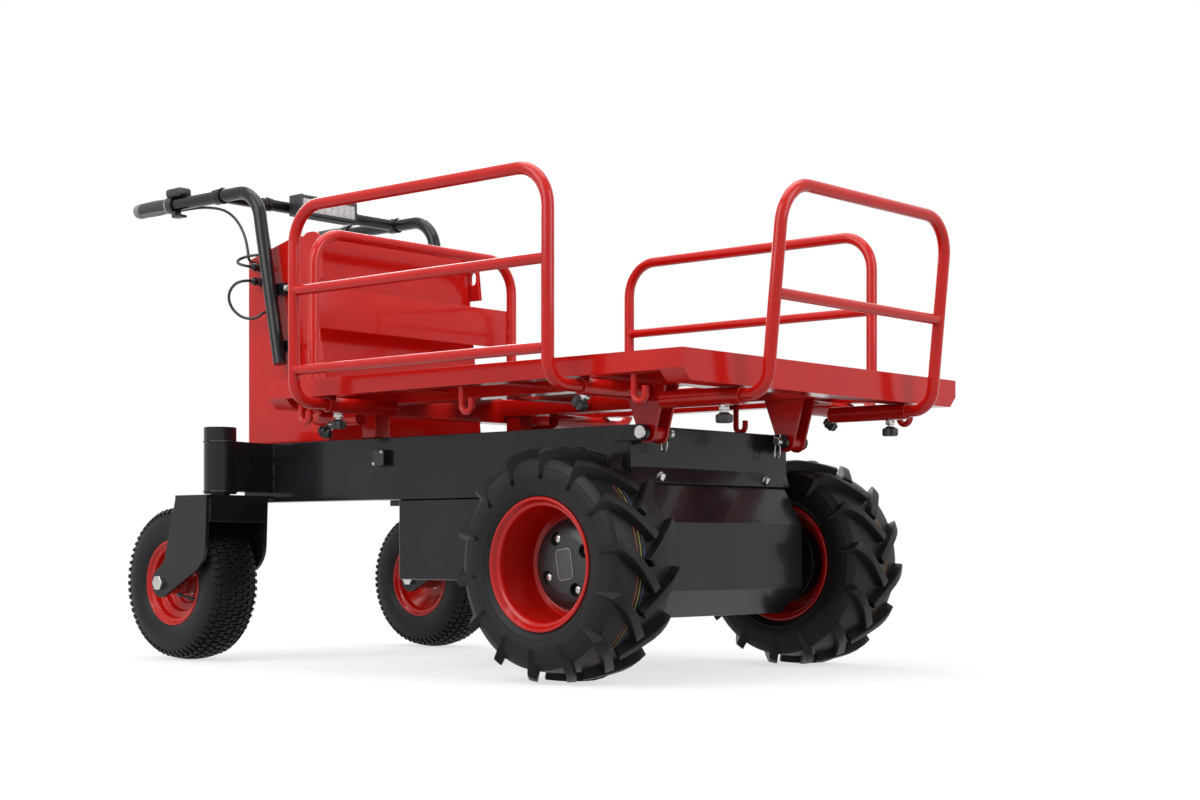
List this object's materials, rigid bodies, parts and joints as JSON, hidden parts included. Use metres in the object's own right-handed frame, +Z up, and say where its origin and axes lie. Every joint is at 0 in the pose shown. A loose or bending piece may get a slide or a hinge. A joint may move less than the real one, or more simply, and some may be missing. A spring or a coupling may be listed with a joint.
{
  "type": "walk-behind electric flatbed dumper",
  "caption": "Walk-behind electric flatbed dumper: driven front wheels, swivelling rear casters, a forward-tilting flat bed with pull-out tube guards, a console and handlebars.",
  "frame": {"origin": "on the floor, in the middle of the machine's outline", "axes": "+X to the operator's left, +Y back towards the operator's handles, +Z up"},
  "size_m": [0.982, 1.792, 1.016],
  "materials": {
    "red_paint": "gloss",
    "black_paint": "gloss",
    "steel": "satin",
    "tyre": "matte",
    "black_rubber": "matte",
    "black_plastic": "satin"
  },
  "bodies": {
    "chassis": {"chassis_frame": "black_paint", "front_plate": "black_paint", "hinge_ears": "black_paint", "hinge_pins": "steel", "drive_cover": "black_paint", "drive_unit": "black_paint", "battery_box": "black_paint", "charge_socket": "black_plastic", "console": "red_paint", "dash": "black_plastic", "eye_plates": "red_paint", "handles": "black_paint", "handle_saddles": "black_paint", "grips": "black_rubber", "controls": "black_plastic", "work_lamp": "black_plastic", "cable_glands": "black_plastic", "control_cables": "black_rubber"},
    "bed": {"bed_frame": "red_paint", "guard_sleeves": "red_paint", "deck_boards": "red_paint", "bed_brackets": "red_paint", "bed_rests": "red_paint", "rope_hooks": "red_paint", "clamp_knobs": "black_plastic", "guard_rear": "red_paint"},
    "guard_right": {"guard_right": "red_paint"},
    "guard_left": {"guard_left": "red_paint"},
    "guard_front": {"guard_front": "red_paint"},
    "drive_wheel_right": {"drive_tyre_right": "tyre", "drive_rim_right": "red_paint", "drive_hub_right": "black_plastic"},
    "fork_right": {"caster_fork_right": "black_paint", "caster_bolt_right": "steel"},
    "caster_wheel_right": {"caster_tyre_right": "tyre", "caster_rim_right": "red_paint"},
    "drive_wheel_left": {"drive_tyre_left": "tyre", "drive_rim_left": "red_paint", "drive_hub_left": "black_plastic"},
    "fork_left": {"caster_fork_left": "black_paint", "caster_bolt_left": "steel"},
    "caster_wheel_left": {"caster_tyre_left": "tyre", "caster_rim_left": "red_paint"}
  },
  "joints": [
    {"name": "bed_tilt", "type": "hinge", "parent": "chassis", "child": "bed", "pos_m": [0, -0.56903, 0.434], "axis": [1, 0, 0], "range_deg": [0, 45]},
    {"name": "guard_right_slide", "type": "slide", "parent": "bed", "child": "guard_right", "axis": [-1, 0, 0], "range_m": [0, 0.12]},
    {"name": "guard_left_slide", "type": "slide", "parent": "bed", "child": "guard_left", "axis": [1, 0, 0], "range_m": [0, 0.12]},
    {"name": "guard_front_slide", "type": "slide", "parent": "bed", "child": "guard_front", "axis": [0, -1, 0], "range_m": [0, 0.12]},
    {"name": "drive_spin_right", "type": "hinge", "parent": "chassis", "child": "drive_wheel_right", "pos_m": [-0.345, -0.48903, 0.20376], "axis": [1, 0, 0], "continuous": true},
    {"name": "swivel_right", "type": "hinge", "parent": "chassis", "child": "fork_right", "pos_m": [-0.347, 0.47297, 0.4], "axis": [0, 0, 1], "continuous": true},
    {"name": "caster_spin_right", "type": "hinge", "parent": "fork_right", "child": "caster_wheel_right", "pos_m": [-0.347, 0.56797, 0.16], "axis": [1, 0, 0], "continuous": true},
    {"name": "drive_spin_left", "type": "hinge", "parent": "chassis", "child": "drive_wheel_left", "pos_m": [0.345, -0.48903, 0.20376], "axis": [1, 0, 0], "continuous": true},
    {"name": "swivel_left", "type": "hinge", "parent": "chassis", "child": "fork_left", "pos_m": [0.347, 0.47297, 0.4], "axis": [0, 0, 1], "continuous": true},
    {"name": "caster_spin_left", "type": "hinge", "parent": "fork_left", "child": "caster_wheel_left", "pos_m": [0.347, 0.56797, 0.16], "axis": [1, 0, 0], "continuous": true}
  ]
}
